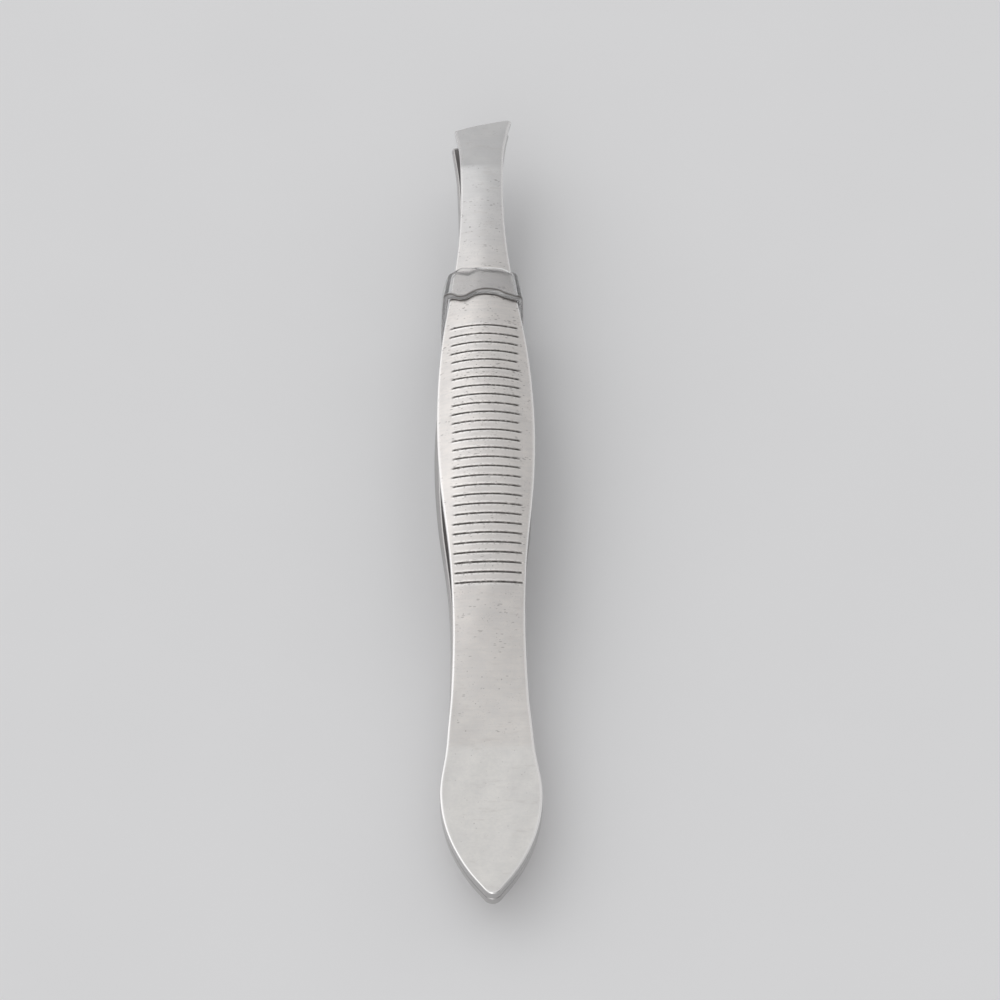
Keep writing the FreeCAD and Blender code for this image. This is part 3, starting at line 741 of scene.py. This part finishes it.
for side, word, groove_seed in ((1, "upper", 11), (-1, "lower", 29)):
    arm = build_arm(side, groove_seed)
    rear = arm_piece(f"{word}_arm_rear", arm, front=False)
    fore = arm_piece(f"{word}_arm_fore", arm, front=True)
    for piece in (rear, fore):
        piece.data.materials.append(steels[word])
    for piece, moved_by, span in ((rear, ("tail", f"{word}_spring"), REAR_BLEND),
                                  (fore, (f"{word}_spring", f"{word}_blade"), FORE_BLEND)):
        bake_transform(piece)
    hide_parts(f"{word}_arm_tail", f"{word}_arm_spring")
    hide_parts(f"{word}_arm_blade")


# ------------------------------------------------------------------ welds (inside the tails)
def weld_material():
    m = new_material("weld_metal")
    noise = m.noise(m.mapped(), scale=2.5, detail=4.0, roughness=0.6)
    return m.finish("ShaderNodeBsdfPrincipled", {
        "Base Color": m.mix(noise, (0.42, 0.40, 0.39), (0.62, 0.61, 0.60)),
        "Metallic": 1.0,
        "Roughness": m.scaled(noise, 0.3, add=0.4),
        "Normal": m.bump(m.times(noise, 0.02), strength=0.6)})


weld_metal = weld_material()
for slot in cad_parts["spot_welds"].material_slots:
    slot.material = weld_metal

# ------------------------------------------------------------------ retaining band
BAND_WALL = 0.45
# inside of the band: half width, half height, radii of the top arc, side arc and corner arc
BAND_REAR = (3.66, 5.70, 8.3, 80, 0.25)
BAND_FRONT = (3.62, 5.57, 8.3, 20, 0.22)
BAND_LEAN, BAND_SHIFT = 0.02, -0.03          # x offset per mm of height, and overall
BAND_ROWS = 16
BAND_ROUND = 0.028               # share of the band's length taken by each rounded end
# The hand-cut edges: mean station, stray along Y at the sides, then (x, stray) on top and bottom
REAR_OUTER_CUT = (66.97, -0.30, [
    (-3.9, -0.15), (-3.2, -0.20), (-2.6, -0.72), (-1.9, -0.82), (-1.35, -0.50), (-0.62, -0.14),
    (0.27, 0.0), (1.55, -0.10), (2.1, -0.40), (3.2, -0.58), (3.9, -0.5)])
REAR_INNER_CUT = (66.60, -0.15, [
    (-3.6, -0.1), (-3.2, -0.20), (-2.35, -0.51), (-1.7, -0.50), (-1.0, -0.13), (0.0, 0.0),
    (1.27, -0.06), (2.26, -0.35), (3.15, -0.39), (3.6, -0.4)])
FRONT_OUTER_CUT = (69.68, -0.10, [
    (-3.6, -0.25), (-3.1, 0.0), (-2.5, 0.22), (-1.5, 0.08), (0.0, 0.0), (1.4, 0.05),
    (2.3, 0.04), (3.26, -0.28)])
FRONT_INNER_CUT = (69.72, -0.20, [
    (-3.2, -0.2), (-2.3, -0.47), (-1.7, -0.62), (-1.15, -0.31), (-0.3, -0.05), (1.0, 0.0),
    (2.3, 0.0), (3.2, -0.13)])


def band_loop(sizes, grow):
    """Closed loop of arcs (x, z), from the middle of the top round by +X."""
    half_w, half_h, top_r, side_r, corner_r = [size + grow for size in sizes]
    top_z, side_x = half_h - top_r, half_w - side_r
    # the corner arc's centre is where circles about the other two centres cross
    top_reach, side_reach = top_r - corner_r, side_r - corner_r
    apart = math.hypot(side_x, top_z)
    along = (top_reach ** 2 - side_reach ** 2 + apart ** 2) / (2 * apart)
    off = math.sqrt(top_reach ** 2 - along ** 2)
    ux, uz = side_x / apart, -top_z / apart
    corner_x, corner_z = max([(along * ux + sign * off * uz, top_z + along * uz - sign * off * ux)
                              for sign in (1, -1)], key=sum)
    top_end = math.atan2(corner_x, corner_z - top_z)
    side_end = math.atan2(corner_z, corner_x - side_x)
    points = [(top_r * math.sin(q), top_z + top_r * math.cos(q))
              for q in np.linspace(0, top_end, 44)]
    points += [(corner_x + corner_r * math.sin(q), corner_z + corner_r * math.cos(q))
               for q in np.linspace(top_end, math.pi / 2 - side_end, 14)[1:]]
    points += [(side_x + side_r * math.cos(q), side_r * math.sin(q))
               for q in np.linspace(side_end, 0, 26)[1:]]
    right = points + [(x, -z) for x, z in points[:-1][::-1]]
    left = [(-x, z) for x, z in right[::-1]][1:-1]
    return np.array(right + left)


def build_band():
    """Ring snipped from soft tube: it follows the taper of the arms between hand-cut ends."""
    # profiles[0] is the inside, profiles[1] the outside; each is (rear, front)
    profiles = [[band_loop(sizes, grow) for sizes in (BAND_REAR, BAND_FRONT)]
                for grow in (0.0, BAND_WALL)]
    x, z = profiles[1][0].T
    count = len(x)
    turn = np.linspace(0, 2 * np.pi, count, endpoint=False)
    top = smooth(2.5, 4.9, z)
    wobble = 0.10 * np.sin(3 * turn + 0.6) + 0.07 * np.sin(7 * turn + 2.0)

    def cut_line(station, rest, points):
        """Y of a cut edge round the loop."""
        stray = np.interp(x, *zip(*points)) * top + (rest + wobble) * (1 - top)
        for _ in range(3):
            stray = 0.5 * stray + 0.25 * (np.roll(stray, 1) + np.roll(stray, -1))
        return NOSE_Y + station + stray

    cuts = [[cut_line(*REAR_INNER_CUT), cut_line(*FRONT_INNER_CUT)],
            [cut_line(*REAR_OUTER_CUT), cut_line(*FRONT_OUTER_CUT)]]
    swell = 0.020 * np.sin(9 * turn + 0.5) + 0.012 * np.sin(17 * turn + 1.0)

    def ring(along, through):
        """Loop at a share along the band (0 rear) and through its wall (0 inside)."""
        def blend(grid):
            inside, outside = [rear * (1 - along) + front * along for rear, front in grid]
            return inside * (1 - through) + outside * through

        points = blend(profiles)
        bulge = swell * math.sin(math.pi * along) * through
        points = points + unit(points) * bulge[:, None]
        lean = BAND_LEAN * points[:, 1] + BAND_SHIFT
        return np.stack([points[:, 0] + lean, blend(cuts), points[:, 1]], -1)

    # path round the wall's section: outside, front end, inside, rear end
    outside = [(along, 1.0) for along in np.linspace(BAND_ROUND, 1 - BAND_ROUND, BAND_ROWS)]
    turned = 1 - BAND_ROUND * 0.35
    front_end = [(turned, 0.955), (1.0, 0.85), (1.0, 0.5), (1.0, 0.15), (turned, 0.045)]
    inside = [(along, 0.0) for along, _ in outside[::-1]]
    rear_end = [(1 - along, through) for along, through in front_end[::-1]]
    path = outside + front_end + inside + rear_end
    verts = np.concatenate([ring(*place) for place in path], 0)

    # painted shade of each ring at the cut ends, in the order of the path
    painted_cut_light = np.array(
        [0.85] + [0.0] * (BAND_ROWS - 1) + [0.15, 0.10, 0.05, 0.40, 0.90]
        + [0.45] + [0.0] * (BAND_ROWS - 2) + [0.85] + [1.0, 0.50, 0.32, 0.50, 1.0])
    painted_cut_light = painted_cut_light[:, None] * (0.40 + 0.60 * top)[None, :]
    # painted highlight where the outer front edge catches the light round the middle and right:
    # negative is bright
    glint = top * smooth(-1.2, 0.4, x) * (1 - smooth(2.9, 3.5, x))
    last = BAND_ROWS - 1
    for k, amount in ((last, 1.0), (last + 1, 1.0), (last + 2, 0.8)):
        painted_cut_light[k] = painted_cut_light[k] * (1 - glint) - amount * glint
    painted_cut_light[last + 3:last + 7] *= 1 - 0.7 * glint

    faces = []
    for k in range(len(path)):
        here, there = k * count, (k + 1) % len(path) * count
        for i in range(count):
            j = (i + 1) % count
            faces.append((here + i, here + j, there + j, there + i))
    return smooth_object("clear_band", verts, faces, {"painted_cut_light": painted_cut_light.ravel()})


def band_material():
    """Clear soft plastic, with painted shade along the cut ends and a painted white highlight
    where the front cut edge shines.
    """
    m = new_material("clear_pvc")
    cloud = m.noise(m.mapped(), scale=0.9, detail=3.0)
    streak = m.noise(m.mapped(scale=(700, 2600, 700)))
    painted_cut_light, shine = m.signed_attribute("painted_cut_light")
    # painted shade along the cut ends
    colour = m.mix(painted_cut_light, (0.90, 0.90, 0.905), (0.050, 0.037, 0.028))
    return m.finish("ShaderNodeBsdfPrincipled", {
        # painted highlight where the front cut edge shines
        "Base Color": m.mix(shine, colour, (1.0, 1.0, 1.0)),
        "Roughness": m.scaled(painted_cut_light, 0.25, add=m.scaled(cloud, 0.10, add=0.04)),
        "IOR": 1.45,
        "Transmission Weight": m.scaled(shine, -0.90, add=m.scaled(painted_cut_light, -0.75, add=0.90)),
        "Normal": m.bump(m.scaled(streak, 0.02, add=m.times(cloud, 0.05)), strength=0.5)})


band = build_band()
band.data.materials.append(band_material())
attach(band, "band")
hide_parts("retaining_band")

# ------------------------------------------------------------------ floor
# The arms lie close over it on the lower grip and the band. It stays under the lower
# arm's inner face when the arms spread.
FLOOR_HALF = 12.0                # metres
FLOOR_Z = -6.015
FLOOR_SLOPE = 0.02685            # fall per unit of Y


def floor_material():
    m = new_material("pale_floor")
    noise = m.noise(m.mapped(), scale=0.05, detail=3.0)
    return m.finish("ShaderNodeBsdfPrincipled", {
        "Base Color": m.mix(noise, (0.80, 0.80, 0.81), (0.83, 0.83, 0.84)), "Roughness": 0.45})


floor_corners = [(x * FLOOR_HALF, y * FLOOR_HALF, FLOOR_Z * MM - FLOOR_SLOPE * y * FLOOR_HALF)
                 for x, y in ((-1, -1), (1, -1), (1, 1), (-1, 1))]
floor = new_object("floor", floor_corners, [(0, 1, 2, 3)])
floor.data.materials.append(floor_material())

# ------------------------------------------------------------------ light
# A soft tent of glowing panels. Its left and right halves are lit separately and meet
# over the arms' crest, blending between these X parts of the view direction.
HALF_BLEND = (-0.09, 0.15)
# azimuth from +Y towards +X and elevation in degrees, half (-1 left, 1 right), strength
PANELS = [
    (0, 5, -1, 0.135), (0, 5, 1, 0.605), (0, 35, -1, 0.606), (0, 65, -1, 0.080),
    (0, 65, 1, 0.537), (0, 95, -1, 0.070), (0, 95, 1, 0.218), (0, 130, -1, 0.700),
    (0, 130, 1, 0.092), (0, 155, -1, 1.150), (0, 155, 1, 0.800), (-70, 42, -1, 1.100),
    (70, 10, 1, 0.624), (70, 42, 1, 0.103),
]
RIM_PANEL = (-56, 8, -1, 0.7)
PANEL_FOCUS, RIM_FOCUS = 5.0, 30.0           # a higher focus makes a smaller panel


def build_world():
    world = bpy.data.worlds.new("studio")
    scene.world = world
    w = Nodes(world, output="ShaderNodeOutputWorld")
    direction = w.new("ShaderNodeTexCoord", {}).outputs["Generated"]
    x = w.new("ShaderNodeSeparateXYZ", {0: direction}).outputs[0]
    left = w.new("ShaderNodeMapRange", {
        "Value": x, "From Min": HALF_BLEND[0], "From Max": HALF_BLEND[1],
        "To Min": 1.0, "To Max": 0.0}, interpolation_type="SMOOTHSTEP").outputs["Result"]
    halves = {-1: left, 1: w.math("SUBTRACT", 1.0, left)}
    total = None
    for panel, focus in [(panel, PANEL_FOCUS) for panel in PANELS] + [(RIM_PANEL, RIM_FOCUS)]:
        azimuth, elevation = map(math.radians, panel[:2])
        half, strength = panel[2:]
        aim = (math.sin(azimuth) * math.cos(elevation),
               math.cos(azimuth) * math.cos(elevation), math.sin(elevation))
        dot = w.new("ShaderNodeVectorMath", {0: direction, 1: aim}, operation="DOT_PRODUCT")
        nearness = w.math("SUBTRACT", dot.outputs["Value"], 1.0)
        lobe = w.math("EXPONENT", w.times(nearness, focus), 0.0)
        lobe = w.times(w.times(lobe, halves[half]), strength)
        total = lobe if total is None else w.math("ADD", total, lobe)
    w.finish("ShaderNodeBackground", {"Strength": total, "Color": (1.0, 1.0, 1.0, 1)})


build_world()

# ------------------------------------------------------------------ camera
CAMERA_ELEVATION = math.radians(56.0)
CAMERA_YAW = math.radians(0.77)
CAMERA_DISTANCE = 650.0

lens = bpy.data.cameras.new("camera")
lens.sensor_width = 36.0
lens.lens = 236.9016
lens.shift_x = 0.0148
lens.shift_y = -0.00283
lens.clip_start = 0.01
lens.clip_end = 10
camera = bpy.data.objects.new("camera", lens)
scene.collection.objects.link(camera)
level = Vector((math.sin(CAMERA_YAW), math.cos(CAMERA_YAW), 0))
rise = Vector((0, 0, math.sin(CAMERA_ELEVATION)))
to_camera = -level * math.cos(CAMERA_ELEVATION) + rise
camera.location = to_camera * CAMERA_DISTANCE * MM
camera.rotation_mode = "QUATERNION"
camera.rotation_quaternion = (-to_camera).to_track_quat("-Z", "Y")
scene.camera = camera
scene.view_settings.view_transform = "Standard"
